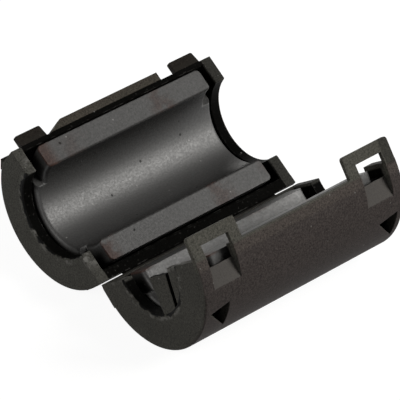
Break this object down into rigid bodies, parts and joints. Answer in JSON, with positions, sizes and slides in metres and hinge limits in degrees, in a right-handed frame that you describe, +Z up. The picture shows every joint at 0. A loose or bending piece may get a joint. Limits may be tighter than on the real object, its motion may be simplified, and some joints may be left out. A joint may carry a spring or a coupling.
{
  "type": "clip-on ferrite bead",
  "caption": "Hinged clip-on ferrite bead, standing open: a round plastic case with a film hinge and latch loops, holding ferrite half cores that close round a cable.",
  "frame": {"origin": "on the table under the hinge axis, in the middle of the case's length", "axes": "+X along the cable, +Y from the hinge to the base's side, +Z up"},
  "size_m": [0.0402, 0.0448, 0.0222],
  "materials": {
    "case_plastic": "fine matt texture",
    "ferrite": "pressed and sintered, fine grain"
  },
  "bodies": {
    "base": {"base_shell": "case_plastic", "base_core": "ferrite", "hinge_film": "case_plastic"},
    "lid": {"lid_shell": "case_plastic", "lid_core": "ferrite"}
  },
  "joints": [
    {"name": "lid_hinge", "type": "hinge", "parent": "base", "child": "lid", "pos_m": [0, 0, 0.00514], "axis": [-1, 0, 0], "range_deg": [-70.5, 109.5], "deforming": ["hinge_film"]}
  ]
}
